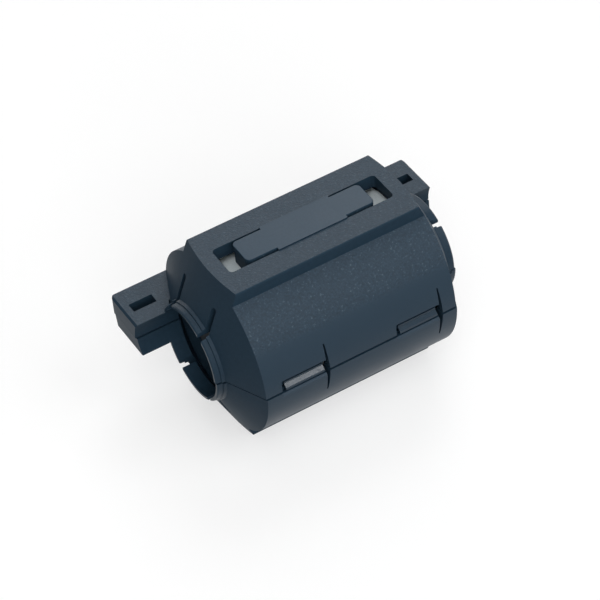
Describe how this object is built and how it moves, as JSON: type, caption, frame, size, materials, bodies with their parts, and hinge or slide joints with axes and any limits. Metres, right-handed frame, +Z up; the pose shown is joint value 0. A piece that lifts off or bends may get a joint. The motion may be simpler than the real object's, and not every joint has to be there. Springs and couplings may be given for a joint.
{
  "type": "clamp-on split ferrite core",
  "caption": "Clamp-on ferrite noise filter for a round cable: two ferrite half rings in a hinged black plastic case with snap latches, slotted collars and slotted ears.",
  "frame": {"origin": "middle of the cable bore, on the plane where the two shells meet", "axes": "X runs along the cable, -Y is the latch side and +Y the hinge side, +Z is up through the closed lid"},
  "size_m": [0.0497, 0.029, 0.0288],
  "materials": {
    "case": "fine spark-eroded grain, smoother on the lower shell and glossy on the latches",
    "ferrite": "fired grey ceramic with ground joint faces"
  },
  "bodies": {
    "base": {"lower_shell": "case", "lower_core": "ferrite", "living_hinge": "case"},
    "lid": {"upper_shell": "case", "upper_core": "ferrite"}
  },
  "joints": [
    {"name": "lid_hinge", "type": "hinge", "parent": "base", "child": "lid", "pos_m": [0, 0.0146, 0], "axis": [-1, 0, 0], "range_deg": [0, 175], "deforming": ["living_hinge"]}
  ]
}
